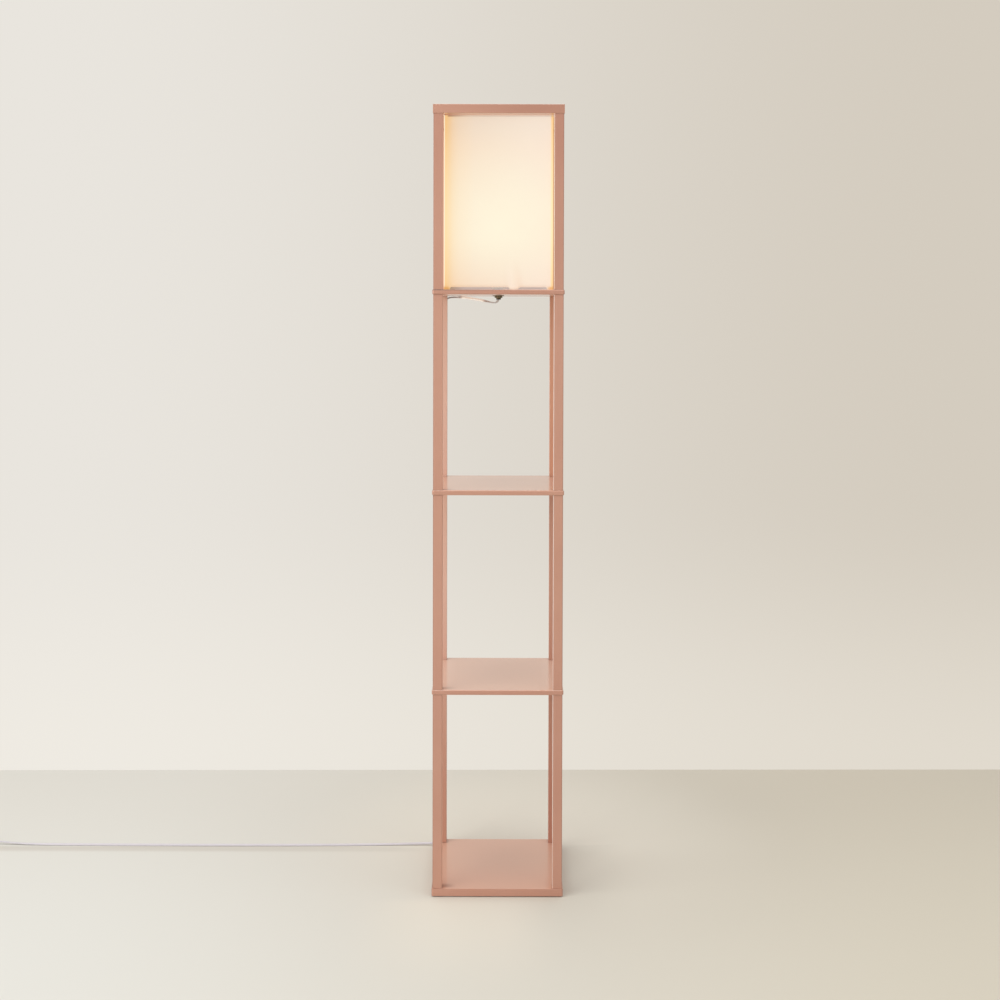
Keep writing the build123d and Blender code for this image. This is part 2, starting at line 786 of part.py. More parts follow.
coil_turns = 3.5
coil_radius = 33.0  # of the first and the last turn, to the cord's middle
coil_gap = 0.75  # between neighbouring turns and layers
coil_lead = 22.0  # straight cord between the switch and the coil
coil_step = 2 * cord_radius + coil_gap
climb_start = (coil_turns - 0.5) / 2  # turns before the climb to the upper layer
coil_x = switch_x - switch_length / 2 - relief_length - coil_lead
coil_y = switch_y - coil_radius
plug_axis = plug_thickness / 2
steps_per_turn = 4


def coil_point(turn):
    """Where the cord's middle is after so many turns: in on the floor, up, and out again on top."""
    radius = coil_radius - coil_step * min(turn, coil_turns - turn)
    climb = min(max((turn - climb_start) / 0.5, 0.0), 1.0)
    height = floor_z + coil_step * climb * climb * (3 - 2 * climb)
    angle = math.pi / 2 + 2 * math.pi * turn
    return Vector(coil_x + radius * math.cos(angle), coil_y + radius * math.sin(angle), height)


def coil_tangent(turn):
    """The cord's heading there, from two points close by."""
    reach = 0.001
    ahead = coil_point(min(turn + reach, coil_turns))
    behind = coil_point(max(turn - reach, 0.0))
    return (ahead - behind).normalized()


def biarc_middle(start, start_way, end, end_way):
    """Where two arcs meet that join the two points with the given headings."""
    across = end - start
    both_ways = start_way + end_way
    spread = 2 * (1 - start_way.dot(end_way))
    along = across.dot(both_ways)
    if spread < 1e-9:
        reach = across.dot(across) / (4 * across.dot(end_way))
    else:
        reach = (math.sqrt(along**2 + spread * across.dot(across)) - along) / spread
    return (start + start_way * reach + end - end_way * reach) / 2


lead_start = Vector(coil_x + coil_lead, switch_y, switch_axis)
lead_way = Vector(-1, 0, 0)
straight = 2 * cord_radius
plug_way = Vector(1, 0, 0)
last_turn = coil_point(coil_turns)
plug_joint = Vector(last_turn.X + plug_reach, last_turn.Y - plug_aside, plug_axis)
stations = [(lead_start + lead_way * straight, lead_way)]
for step in range(int(coil_turns * steps_per_turn) + 1):
    turn = step / steps_per_turn
    stations.append((coil_point(turn), coil_tangent(turn)))
stations.append((plug_joint - plug_way * straight, plug_way))
with BuildPart() as cord_coil:
    with BuildLine() as coil_route:
        Line(lead_start, stations[0][0])
        for (start, start_way), (end, end_way) in zip(stations, stations[1:]):
            middle = biarc_middle(start, start_way, end, end_way)
            first_arc = TangentArc(start, middle, tangent=start_way)
            TangentArc(middle, end, tangent=first_arc % 1)
        Line(stations[-1][0], plug_joint)
    with BuildSketch(Plane(lead_start, z_dir=lead_way)):
        Circle(cord_radius)
    sweep()
cord_coil.part.label = "cord_coil"
export_step(cord_coil.part, "parts/cord_coil.step")
coil_path = coil_route.wire()
coil_length = coil_path.length
print(f"cord_coil: {coil_length:.0f} mm, volume {cord_coil.part.volume:.0f}")
print(f"  section times length {math.pi * cord_radius**2 * coil_length:.0f}")
samples = 600
dots = [coil_path @ (i / samples) for i in range(samples + 1)]
skip = int(6 * cord_radius / (coil_length / samples))  # points that are near along the cord itself
least = min((dots[i] - dots[j]).length for i in range(samples + 1) for j in range(i + skip, samples + 1))
print(f"  least gap between its turns {least - 2 * cord_radius:.2f} mm")

# Two-blade plug, lying flat beside the coil.
plug_back = Plane(plug_joint, x_dir=(0, 1, 0), z_dir=(1, 0, 0))
with BuildPart() as plug_body:
    with BuildSketch(plug_back):
        Circle(relief_tip)
    with BuildSketch(plug_back.offset(plug_neck)):
        RectangleRounded(plug_neck_width, plug_neck_thickness, plug_edge)
    loft()
    with BuildSketch(plug_back.offset(plug_neck)):
        RectangleRounded(plug_shoulder, plug_thickness, plug_edge)
    with BuildSketch(plug_back.offset(plug_neck + plug_length)):
        RectangleRounded(plug_width, plug_thickness, plug_edge)
    loft()
plug_body.part.label = "plug_body"
export_step(plug_body.part, "parts/plug_body.step")

blade_root = plug_back.offset(plug_neck + plug_length)
with BuildPart() as plug_blades:
    with BuildSketch(blade_root):
        with Locations((-blade_spacing / 2, 0)):
            Rectangle(blade_thickness, blade_width)
        with Locations((blade_spacing / 2, 0)):
            Rectangle(blade_thickness, wide_blade_width)
    extrude(amount=blade_length)
    hole_x = plug_joint.X + plug_neck + plug_length + blade_length - blade_hole_place
    with BuildSketch(Plane((hole_x, plug_joint.Y, plug_axis), x_dir=(1, 0, 0), z_dir=(0, 1, 0))):
        Circle(blade_hole)
    extrude(amount=plug_width / 2, both=True, mode=Mode.SUBTRACT)
plug_blades.part.label = "plug_blades"
export_step(plug_blades.part, "parts/plug_blades.step")

print(f"total height {total_height} mm, {len(os.listdir('parts'))} sub-parts")
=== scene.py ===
"""A tall square lamp with open shelves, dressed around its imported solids. Metres; the front faces -Y."""

import math

import bpy
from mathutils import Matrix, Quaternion, Vector, noise


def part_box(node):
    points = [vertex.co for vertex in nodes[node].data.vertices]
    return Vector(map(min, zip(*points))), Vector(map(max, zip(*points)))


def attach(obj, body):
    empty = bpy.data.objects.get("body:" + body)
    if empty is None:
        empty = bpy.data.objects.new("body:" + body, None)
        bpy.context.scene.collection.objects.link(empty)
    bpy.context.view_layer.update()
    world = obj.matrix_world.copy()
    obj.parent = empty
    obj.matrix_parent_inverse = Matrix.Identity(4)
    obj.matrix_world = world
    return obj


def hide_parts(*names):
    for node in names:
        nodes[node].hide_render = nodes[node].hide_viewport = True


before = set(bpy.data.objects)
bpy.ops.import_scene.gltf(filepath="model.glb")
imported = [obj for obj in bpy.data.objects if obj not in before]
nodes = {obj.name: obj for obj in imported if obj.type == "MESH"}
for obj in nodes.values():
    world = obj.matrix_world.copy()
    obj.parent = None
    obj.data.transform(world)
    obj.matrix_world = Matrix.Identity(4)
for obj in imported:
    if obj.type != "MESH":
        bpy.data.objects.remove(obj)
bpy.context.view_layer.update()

# ---------------------------------------------------------------- camera
# The photograph looks almost level at the upper bay, straight at the front, and still shows
# the floor before the lamp, so the view is shifted down and hardly tilted.
camera_data = bpy.data.cameras.new("camera")
camera_data.sensor_width = 36.0
camera_data.lens = 49.21
camera_data.shift_y = -0.1537
camera_data.clip_start = 0.05
camera_data.clip_end = 60.0
camera = bpy.data.objects.new("camera", camera_data)
bpy.context.collection.objects.link(camera)
camera.location = (0.0033, -2.854, 1.1613)
camera_tilt = math.radians(90.0 - 1.156)
camera_roll = math.radians(0.13)
camera.rotation_mode = "QUATERNION"
camera.rotation_quaternion = Quaternion((1, 0, 0), camera_tilt) @ Quaternion((0, 0, 1), camera_roll)
bpy.context.scene.camera = camera
bpy.context.scene.view_settings.view_transform = "Standard"


# ---------------------------------------------------------------- room
# A pale matt floor that ends at the wall's foot behind the lamp. The wall is the world's own
# colour, light on the left and a little darker on the right, as the window leaves it.


class Value:
    """One socket of a set of shader nodes. Python's operators on it add Math nodes."""

    def __init__(self, tree, socket):
        self.tree = tree
        self.socket = socket

    def node(self, kind, settings=None, inputs=None, output=0):
        """Adds a node, sets it up, fills or links its sockets, and gives one of its outputs."""
        made = self.tree.nodes.new(kind)
        for name, setting in (settings or {}).items():
            if name == "stops":
                ramp = made.color_ramp
                ramp.elements[0].position = setting[0][0]
                ramp.elements[1].position = setting[-1][0]
                for place, _ in setting[1:-1]:
                    ramp.elements.new(place)
                for element, (_, tone) in zip(ramp.elements, setting):
                    element.color = (*tone, 1.0)
            else:
                setattr(made, name, setting)
        for name, content in (inputs or {}).items():
            if isinstance(content, Value):
                self.tree.links.new(content.socket, made.inputs[name])
            else:
                made.inputs[name].default_value = content
        return Value(self.tree, made.outputs[output])

    def math(self, operation, first, second=0.0):
        """A Math node on two inputs, each a value or a number."""
        return self.node("ShaderNodeMath", {"operation": operation}, {0: first, 1: second})

    def __add__(self, other):
        return self.math("ADD", self, other)

    def __radd__(self, other):
        return self.math("ADD", other, self)

    def __sub__(self, other):
        return self.math("SUBTRACT", self, other)

    def __rsub__(self, other):
        return self.math("SUBTRACT", other, self)

    def __mul__(self, other):
        return self.math("MULTIPLY", self, other)

    def __rmul__(self, other):
        return self.math("MULTIPLY", other, self)

    def __truediv__(self, other):
        return self.math("DIVIDE", self, other)

    def __rtruediv__(self, other):
        return self.math("DIVIDE", other, self)

    def __pow__(self, other):
        return self.math("POWER", self, other)

    def __neg__(self):
        return 0 - self

    def __abs__(self):
        return self.math("ABSOLUTE", self)

    def smaller(self, other):
        """The smaller of the two."""
        return self.math("MINIMUM", self, other)

    def larger(self, other):
        """The larger of the two."""
        return self.math("MAXIMUM", self, other)

    def between(self, low, high):
        """0 below low, 1 above high, and smooth in between."""
        return self.node(
            "ShaderNodeMapRange",
            {"interpolation_type": "SMOOTHSTEP"},
            {"Value": self, "From Min": low, "From Max": high},
        )

    def within(self, low, low_full, high_full, high):
        """Rises from low to low_full, falls from high_full to high, and is 0 outside."""
        return self.between(low, low_full) * (1 - self.between(high_full, high))

    def blend(self, first, second):
        """The first colour where this is 0 and the second where it is 1."""
        return self.node(
            "ShaderNodeMix",
            {"data_type": "RGBA"},
            {0: self, 6: first, 7: second},
            output=2,
        )

    def part(self, axis):
        """One component of a vector: 0, 1 or 2."""
        return self.node("ShaderNodeSeparateXYZ", None, {0: self}, output=axis)

    def stretched(self, x, y, z):
        """A vector times x, y and z."""
        return self.node(
            "ShaderNodeVectorMath", {"operation": "MULTIPLY"}, {0: self, 1: (x, y, z)}
        )

    def noise(self, scale, detail=2.0, roughness=0.5):
        """Cloudy noise, about 0 to 1, over this place."""
        return self.node(
            "ShaderNodeTexNoise",
            None,
            {"Vector": self, "Scale": scale, "Detail": detail, "Roughness": roughness},
        )

    def bump(self, strength, distance):
        """A normal that this height gives."""
        return self.node(
            "ShaderNodeBump",
            None,
            {"Strength": strength, "Distance": distance, "Height": self},
        )


def linear(red, green, blue):
    """What the shaders want for a colour that the screen shows as these parts of 255."""
    shares = [part / 255 for part in (red, green, blue)]
    return tuple(
        share / 12.92 if share <= 0.04045 else ((share + 0.055) / 1.055) ** 2.4
        for share in shares
    )


def colour(red, green, blue):
    return (*linear(red, green, blue), 1.0)


def new_finish(name, **fixed):
    """A material with these fixed settings, the place on the part as a first value, and a
    function that feeds varying values to the shader."""
    material = bpy.data.materials.new(name)
    material.use_nodes = True
    tree = material.node_tree
    shader = tree.nodes["Principled BSDF"]
    for socket, setting in fixed.items():
        shader.inputs[socket.replace("_", " ")].default_value = setting
    place = Value(tree, tree.nodes.new("ShaderNodeTexCoord").outputs["Object"])

    def feed(**varying):
        for socket, content in varying.items():
            tree.links.new(content.socket, shader.inputs[socket.replace("_", " ")])

    return material, place, feed


floor_half = 7.0
floor_depth = 10.0
wall_y = 0.643
wall_skew = 0.0086 * floor_half
floor_mesh = bpy.data.meshes.new("floor")
floor_mesh.from_pydata(
    [
        (-floor_half, wall_y - floor_depth, 0.0),
        (floor_half, wall_y - floor_depth, 0.0),
        (floor_half, wall_y + wall_skew, 0.0),
        (-floor_half, wall_y - wall_skew, 0.0),
    ],
    [],
    [(0, 1, 2, 3)],
)
floor = bpy.data.objects.new("floor", floor_mesh)
bpy.context.collection.objects.link(floor)
floor_finish, floor_place, feed_floor = new_finish("floor", Roughness=0.9)
floor_x = floor_place.part(0)
floor_y = floor_place.part(1)
# Painted light: the floor is lighter on the left, towards the window, than on the right, and a little
# darker further back.
across = floor_x.between(-1.0, 1.05)
near_tone = across.blend(colour(213, 212, 204), colour(208, 201, 183))
far_tone = across.blend(colour(212, 209, 199), colour(202, 194, 176))
floor_tone = floor_y.between(-0.45, 0.6).blend(near_tone, far_tone)
# Painted light: the floor is lighter behind and beside the base, where the lamp lights it, and a little in
# front of it.
glow_middle = (0.08, 0.2, 0.0)
from_lamp = floor_place.node(
    "ShaderNodeVectorMath", {"operation": "DISTANCE"}, {0: floor_place, 1: glow_middle}, output=1
)
beside = (-floor_x).between(0.13, 0.16) + floor_x.between(0.14, 0.30)
around = (1 - from_lamp.between(0.10, 0.60)) * beside.larger(floor_y.between(0.125, 0.150))
before = floor_y.within(-0.60, -0.15, -0.17, -0.11) * floor_x.within(-0.32, -0.08, 0.0, 0.14)
lamplight = (around * 0.7).larger(before * 0.9)
floor_tone = lamplight.blend(floor_tone, colour(224, 218, 203))
# The cord's soft shadow is painted on the floor; it fades towards the lamp and ends with the cord.
cord_shade = floor_y.within(0.092, 0.112, 0.124, 0.130) * floor_x.within(-1.13, -1.09, -0.24, -0.13)
cord_shade = cord_shade * (1 - 0.6 * floor_x.between(-0.60, -0.14))
feed_floor(Base_Color=(cord_shade * 0.55).blend(floor_tone, colour(186, 178, 166)))
floor_mesh.materials.append(floor_finish)

world = bpy.data.worlds.new("room")
bpy.context.scene.world = world
world.use_nodes = True
world_tree = world.node_tree
direction = Value(world_tree, world_tree.nodes.new("ShaderNodeTexCoord").outputs["Generated"])
seen = direction.node("ShaderNodeLightPath", output="Is Camera Ray")
glossy = direction.node("ShaderNodeLightPath", output="Is Glossy Ray")
clear = direction.node("ShaderNodeLightPath", output="Is Transmission Ray")
shown = (seen + glossy + clear).smaller(1.0)
across = direction.part(0).between(-0.34, 0.34)
down = (-direction.part(2)).between(0.12, 0.30)
wall_colour = across.blend(colour(233, 229, 222), colour(212, 204, 191))
wall_colour = (down * 0.30).blend(wall_colour, colour(252, 247, 236))
ambient_share = 0.65
ambient = (*(ambient_share * part for part in linear(246, 246, 250)), 1.0)
sky = shown.blend(ambient, wall_colour)
background = world_tree.nodes["Background"]
world_tree.links.new(sky.socket, background.inputs["Color"])
background.inputs["Strength"].default_value = 1.0


# ---------------------------------------------------------------- light
# A broad window on the left in front, a weaker one on the right, and a soft ceiling light,
# far enough away to light the whole height evenly.


def hang_lamp(name, place, target, size, power, tint):
    """A soft rectangular light at place that faces the target."""
    data = bpy.data.lights.new(name, "AREA")
    data.shape = "RECTANGLE"
    data.size = size[0]
    data.size_y = size[1]
    data.energy = power
    data.color = tint
    lamp = bpy.data.objects.new(name, data)
    lamp.location = place
    lamp.rotation_mode = "QUATERNION"
    lamp.rotation_quaternion = (Vector(target) - Vector(place)).to_track_quat("-Z", "Y")
    bpy.context.collection.objects.link(lamp)


daylight = (1.0, 0.98, 0.95)
hang_lamp("window_left", (-3.0, -2.2, 1.8), (0.0, 0.0, 0.8), (2.8, 2.4), 62.0, daylight)
hang_lamp("window_right", (2.8, -2.4, 1.6), (0.0, 0.0, 0.8), (1.6, 2.4), 8.0, daylight)
hang_lamp("ceiling", (-0.3, -0.2, 4.2), (0.0, 0.0, 0.0), (3.0, 3.0), 80.0, daylight)

# ---------------------------------------------------------------- painted frame
# Posts, shelves, base board and top rails are sawn wood, sprayed with a satin dusty pink
# paint. The grain just shows through it. Light and shade are painted into the paint's colour:
# painted shade at the joints, along the posts' edges, at their feet and by bay, and painted
# highlights, reflections and lighter tops where light falls.
paint, spot, feed_paint = new_finish("painted_wood", IOR=1.5, Coat_Roughness=0.14)
post_low, post_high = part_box("lower_post_front_right")
shelf_low, shelf_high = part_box("lamp_shelf")
rail_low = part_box("top_rail_front")[0]
x = spot.part(0)
y = spot.part(1)
z = spot.part(2)
sideways = abs(x)
from_inner = sideways - post_low[0]
from_outer = sideways - post_high[0]
from_front = y - post_low[1]
over_shelf = z - shelf_high[2]
over_rail = z - rail_low[2]
facing = spot.node("ShaderNodeNewGeometry", output="Normal")
flat = abs(facing.part(2)).between(0.5, 0.9)
upright = 1 - flat
to_right = x.between(-0.12, 0.12)
to_left = 1 - to_right
in_rails = over_rail.between(-0.0005, 0.0005)
below_rails = 1 - in_rails
cloud = spot.noise(7.0, 3.0)
speck = spot.noise(420.0, 2.0)
grain_up = spot.stretched(260.0, 260.0, 9.0).noise(1.0, 3.0, 0.55)
grain_across = spot.stretched(9.0, 160.0, 160.0).noise(1.0, 3.0, 0.55)
grain = flat * grain_across + upright * grain_up

# Painted shade: dark lines along the joints between the boards and the posts that stand on them.
joint_heights = [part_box("base_board")[1][2], rail_low[2]]
for shelf in ("lower_shelf", "middle_shelf", "lamp_shelf"):
    joint_heights += [corner[2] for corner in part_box(shelf)]
joint_shade = sum(1 - abs(z - joint).between(0.0, 0.0011) for joint in joint_heights)
# Painted shade by bay: upright faces darker in the lantern bay and the lowest bay, more so to
# the right. Painted light and shade on the rear posts.
above_shelf = z.between(shelf_low[2] - 0.0045, shelf_low[2])
lantern = (above_shelf + z.between(1.40, 1.54)) * below_rails
lowest = 1 - z.between(0.40, 0.58)
bay_shade = (lantern * 0.10 + lowest * 0.13) * (0.85 + 0.55 * to_right) * upright
rear_posts = upright * y.between(0.100, 0.108)
rear_foot = rear_posts * to_right * (1 - z.between(0.05, 0.40))
# Painted shade along the front posts' long edges, a painted highlight on the right post's
# inner face and a painted reflection on the left post's inner face.
on_posts = upright * below_rails
on_edge = from_inner.within(-0.0004, 0.0, 0.0006, 0.0012) + from_outer.between(-0.0014, -0.0008)
long_edge = on_edge * from_front.within(-0.0006, -0.0004, 0.0012, 0.0016) * on_posts
on_face = from_inner.within(-0.0020, -0.0006, 0.0003, 0.0007)
inner_face = on_face * from_front.within(-0.0012, -0.0006, 0.018, 0.020) * on_posts
inner_left = inner_face * to_left
inner_left_share = 0.35 + 0.25 * z.between(0.80, 0.84)
# Painted shade on the lamp shelf's rim, a painted glow on the rails' underside, painted shade at
# the posts' feet and on the front of the base's top, and painted light on the lower shelf's top.
shelf_rim = over_shelf.within(-0.0025, -0.0017, 0.0001, 0.0003) * to_left
shelf_rim = shelf_rim * (1 - from_front.between(0.0004, 0.0010))
facing_down = (-facing.part(2)).between(0.5, 0.9)
rail_underside = over_rail.within(-0.0005, -0.0001, 0.0003, 0.0009) * facing_down
near_post = (sideways.smaller(abs(y)) - post_low[0]).between(-0.0045, -0.0005)
post_foot = flat * near_post * (1 - z.between(1.40, 1.45))
foot_shade = y.within(-0.128, -0.119, -0.116, -0.102) * (1 - x.between(-0.110, -0.080))
foot_shade = foot_shade * flat * (1 - z.between(0.90, 1.00))
lower_top = flat * z.within(0.30, 0.35, 0.50, 0.60)
base_front = flat * (1 - z.between(0.05, 0.10)) * (1 - y.between(-0.13, 0.02))

paint_tone = cloud.between(0.25, 0.75).blend(colour(198, 145, 122), colour(203, 151, 128))
for mask, share, tone in (
    (grain.between(0.52, 0.9), 0.18, (180, 126, 104)),
    (speck.between(0.62, 0.8), 0.12, (224, 182, 163)),
    (joint_shade * upright, 0.55, (120, 72, 54)),
    # Painted light: flat faces lighter than the upright ones.
    (flat, 0.6, (222, 177, 150)),
    # Painted shade: the top rails darker towards the right.
    (in_rails * x.between(-0.16, 0.08), 0.6, (176, 122, 100)),
    (bay_shade, 1.0, (158, 88, 70)),
    # Painted light on the rear posts, and painted shade at the rear right post's foot.
    (rear_posts * to_left * z.between(0.10, 0.60), 0.55, (242, 204, 184)),
    (rear_posts * to_right * z.between(0.80, 0.83), 0.5, (230, 164, 126)),
    (rear_foot, 0.3, (168, 84, 58)),
    (long_edge, 0.5, (132, 82, 62)),
    (inner_face * to_right, 0.75, (255, 236, 222)),
    (inner_left, inner_left_share, (255, 212, 186)),
    (shelf_rim, 0.8, (112, 72, 56)),
    (rail_underside, 0.35, (250, 206, 172)),
    (post_foot, 0.45 - 0.25 * to_right, (140, 88, 68)),
    (foot_shade, 0.65, (110, 58, 38)),
    (lower_top, 0.22 + 0.20 * sideways.between(0.085, 0.110), (240, 206, 184)),
    (base_front, 0.3, (196, 128, 98)),
):
    paint_tone = (mask * share).blend(paint_tone, colour(*tone))
feed_paint(
    Base_Color=paint_tone,
    Roughness=0.34 + 0.1 * cloud + 0.05 * speck + 0.4 * inner_left,
    Coat_Weight=0.9 - 0.9 * inner_left,
    Normal=(grain * 0.7 + speck * 0.3).bump(0.25, 0.0003),
)


def paint_over(names, finish):
    """Gives the solids with these names their finish."""
    for name in names:
        slots = nodes[name].data.materials
        slots.clear()
        slots.append(finish)


wooden = [
    name
    for name in nodes
    if "_post_" in name or name.endswith("_shelf") or name.startswith("top_rail") or name == "base_board"
]
paint_over(wooden, paint)

# ---------------------------------------------------------------- pads, studs, screws, dowels
# Felt pads under the base, zinc-plated studs and screws inside the joints, and bare beech
# dowels in the top frame's corners. Only the pads and the screw heads show.
felt, spot, feed_felt = new_finish("felt", Roughness=0.95)
fibres = spot.stretched(1.0, 1.0, 2.0).noise(900.0, 4.0, 0.7)
feed_felt(
    Base_Color=fibres.between(0.3, 0.7).blend(colour(92, 76, 68), colour(128, 108, 96)),
    Normal=fibres.bump(0.9, 0.0006),
)
paint_over(["foot_pads"], felt)

zinc, spot, feed_zinc = new_finish("zinc_steel", Metallic=1.0)
patches = spot.noise(350.0, 3.0)
turned = spot.stretched(20.0, 20.0, 1600.0).noise(1.0, 2.0)
feed_zinc(
    Base_Color=patches.between(0.35, 0.65).blend(colour(186, 186, 182), colour(206, 205, 196)),
    Roughness=0.3 + 0.2 * patches,
    Normal=turned.bump(0.3, 0.0002),
)
paint_over(
    ["base_screws", "top_screws", "lower_studs", "middle_studs", "upper_studs"],
    zinc,
)

beech, spot, feed_beech = new_finish("beech", Roughness=0.62)
lines = spot.stretched(500.0, 30.0, 500.0).noise(1.0, 3.0)
feed_beech(
    Base_Color=lines.between(0.35, 0.7).blend(colour(214, 176, 130), colour(182, 136, 92)),
    Normal=lines.bump(0.3, 0.0003),
)
paint_over(["top_dowels"], beech)

# ---------------------------------------------------------------- sleeve
# One sheet of cream laminate, creased at four corners and glued at the rear left. It stands
# on the shelf on its corners and a short tongue. The glow where the bulb is near it, and the
# light and shade on the sheet, are painted as emission.
sleeve_low, sleeve_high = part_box("shade_sleeve")
sleeve_side = sleeve_high[0] - sleeve_low[0]
half = sleeve_side / 2
sheet_thickness = 0.0006
sheet_rise = 0.0012
fold_radius = 0.0022
fold_steps = 5
run = sleeve_side - 2 * fold_radius
leg_width = 0.012
lower_cut = 0.005
upper_cut = 0.003
cut_slope = 0.002
tongue_place = 0.031
tongue_width = 0.014
lap_width = 0.016
lap_steps = 6
lap_gap = sheet_thickness * 1.15
side_steps = 44
least_step = 0.0009
rows = 60
bow_depth = 0.0011
dent_top = 1.285
dent_height = 0.062
dent_depth = 0.0016
ridge_rise = 0.0006
front, right_side, rear, left_side = range(4)


def share_between(value, low, high):
    """How far value has come from low to high, from 0 to 1."""
    return min(max((value - low) / (high - low), 0.0), 1.0)


def side_stops():
    """Places along one side where the outline of the cut turns, and even steps in between."""
    corner = leg_width - fold_radius
    stops = [0.0, corner, corner + cut_slope]
    stops += [run - stop for stop in reversed(stops)]
    tongue = half - fold_radius + tongue_place
    for reach in (tongue_width / 2, tongue_width / 2 + cut_slope):
        stops += [tongue - reach, tongue + reach]
    stops += [run * step / side_steps for step in range(1, side_steps)]
    stops.sort()
    kept = [stops[0]]
    for stop in stops[1:]:
        if stop - kept[-1] > least_step:
            kept.append(stop)
    kept[-1] = run
    return kept


def side_point(side_index, along):
    """A point on the sheet's outer line, the way out, and its distance from the side's middle."""
    turn = side_index * math.pi / 2
    out = Vector((math.sin(turn), -math.cos(turn), 0.0))
    way = Vector((math.cos(turn), math.sin(turn), 0.0))
    offset = along - run / 2
    return way * offset + out * half, out, offset


def cut_heights(side_index, offset):
    """How far the sheet's lower and upper edge are cut back here."""
    share = share_between(half - abs(offset), leg_width, leg_width + cut_slope)
    low = lower_cut * share
    high = upper_cut * share
    if side_index == front:
        edge = tongue_width / 2
        past = share_between(abs(offset - tongue_place), edge, edge + 2 * cut_slope)
        low = min(low, lower_cut * past)
        high = 0.0
    return low, high


def sheet_wave(side_index, offset, height):
    """The sheet's slight bowing between its creases, and the dent over the tongue in front."""
    room = max(1.0 - (offset / (half - 0.004)) ** 4, 0.0)
    sample = Vector((offset * 9.0 + 5.3 * side_index, height * 5.0, 1.7 * side_index))
    push = room * (bow_depth * noise.noise(sample) - 0.0003)
    if side_index == front:
        below = share_between(dent_top - height, 0.0, dent_height)
        centre = 0.016 + 0.009 * below
        width = 0.004 + 0.007 * below
        push -= dent_depth * below * math.exp(-(((offset - centre) / width) ** 2))
        ridge = centre + 1.6 * width
        push += ridge_rise * below * math.exp(-(((offset - ridge) / (0.7 * width)) ** 2))
    return push


def fold(side_index, shrink=0.0):
    """The columns of the fold at a side's end. The line moves in by shrink before the fold."""
    end, out, _ = side_point(side_index, run)
    way = (end - side_point(side_index, 0.0)[0]).normalized()
    centre = end - out * fold_radius
    bent = []
    for step in range(1, fold_steps):
        share = step / fold_steps
        angle = share * math.pi / 2
        way_out = out * math.cos(angle) + way * math.sin(angle)
        reach = fold_radius - shrink * (1 - share)
        if share < 0.5:
            bent.append((side_index, centre + way_out * reach, way_out, half))
        else:
            bent.append(((side_index + 1) % 4, centre + way_out * reach, way_out, -half))
    return bent


# From the glued lap inside the rear side, round the left, front and right, and over the lap.
columns = []
for step in range(lap_steps + 1):
    point, out, offset = side_point(rear, run - lap_width * (1 - step / lap_steps))
    columns.append((rear, point - out * lap_gap, out, offset))
columns += fold(rear, lap_gap)
for side_index in (left_side, front, right_side, rear):
    for along in side_stops():
        point, out, offset = side_point(side_index, along)
        columns.append((side_index, point, out, offset))
    if side_index != rear:
        columns += fold(side_index)

vertices = []
for side_index, point, out, offset in columns:
    low, high = cut_heights(side_index, offset)
    z_low = sleeve_low[2] + low
    z_high = sleeve_high[2] + sheet_rise - high
    for row in range(rows + 1):
        height = z_low + (z_high - z_low) * row / rows
        push = sheet_wave(side_index, offset, height)
        vertices.append(point + out * push + Vector((0.0, 0.0, height)))
faces = []
stride = rows + 1
for column in range(len(columns) - 1):
    for row in range(rows):
        first = column * stride + row
        faces.append((first, first + stride, first + stride + 1, first + 1))
sleeve_mesh = bpy.data.meshes.new("sleeve")
sleeve_mesh.from_pydata(vertices, [], faces)
sleeve_mesh.polygons.foreach_set("use_smooth", [True] * len(faces))
sleeve = bpy.data.objects.new("sleeve", sleeve_mesh)
bpy.context.collection.objects.link(sleeve)
thicken = sleeve.modifiers.new("sheet", "SOLIDIFY")
thicken.thickness = sheet_thickness
thicken.offset = -1.0
bpy.context.view_layer.objects.active = sleeve
bpy.ops.object.select_all(action="DESELECT")
sleeve.select_set(True)
bpy.ops.object.modifier_apply(modifier="sheet")

laminate, spot, feed_sheet = new_finish("shade_sheet", Roughness=0.72, Emission_Strength=1.0)
x = spot.part(0)
y = spot.part(1)
z = spot.part(2)
facing = spot.node("ShaderNodeNewGeometry", output="Normal")
to_right = x.between(-0.10, 0.10)
from_left = x.between(-0.112, -0.055)
left_half = 1 - x.between(-0.02, 0.02)
in_front = 1 - y.between(-0.108, -0.106)
fibre = spot.noise(900.0, 3.0, 0.6)
long_fibre = spot.stretched(60.0, 60.0, 900.0).noise(1.0, 3.0)
mottle = spot.noise(16.0, 3.0)

# The glow is brightest in front of the bulb and dims upwards, downwards and to the folds.
glow_z = 1.345
above = ((z - glow_z) / 0.215).larger(0.0)
below = ((glow_z - z) / 0.15).larger(0.0)
from_middle = abs(x).smaller(abs(y))
aside = from_middle / 0.25
dimming = ((above * above + below * below + aside * aside) ** 0.6).smaller(1.0)
# A painted warm glow runs beside each fold where the post shades the sheet, wide with a painted
# highlight on its rim on the left and thin on the right.
from_fold = (half - from_middle) / 0.06
band_shares = {
    0.0: 0.9,
    0.04: 1.0,
    0.10: 0.95,
    0.17: 0.72,
    0.3: 0.38,
    0.5: 0.17,
    0.87: 0.06,
    1.0: 0.0,
}
wide_band = from_fold.node(
    "ShaderNodeValToRGB",
    {"stops": [(place, (share, share, share)) for place, share in band_shares.items()]},
    {"Fac": from_fold},
)
thin_band = 1 - from_fold.between(0.05, 0.12)
warm = left_half * wide_band + (1 - left_half) * thin_band
rim_highlight = left_half * (1 - from_fold.between(0.022, 0.040))
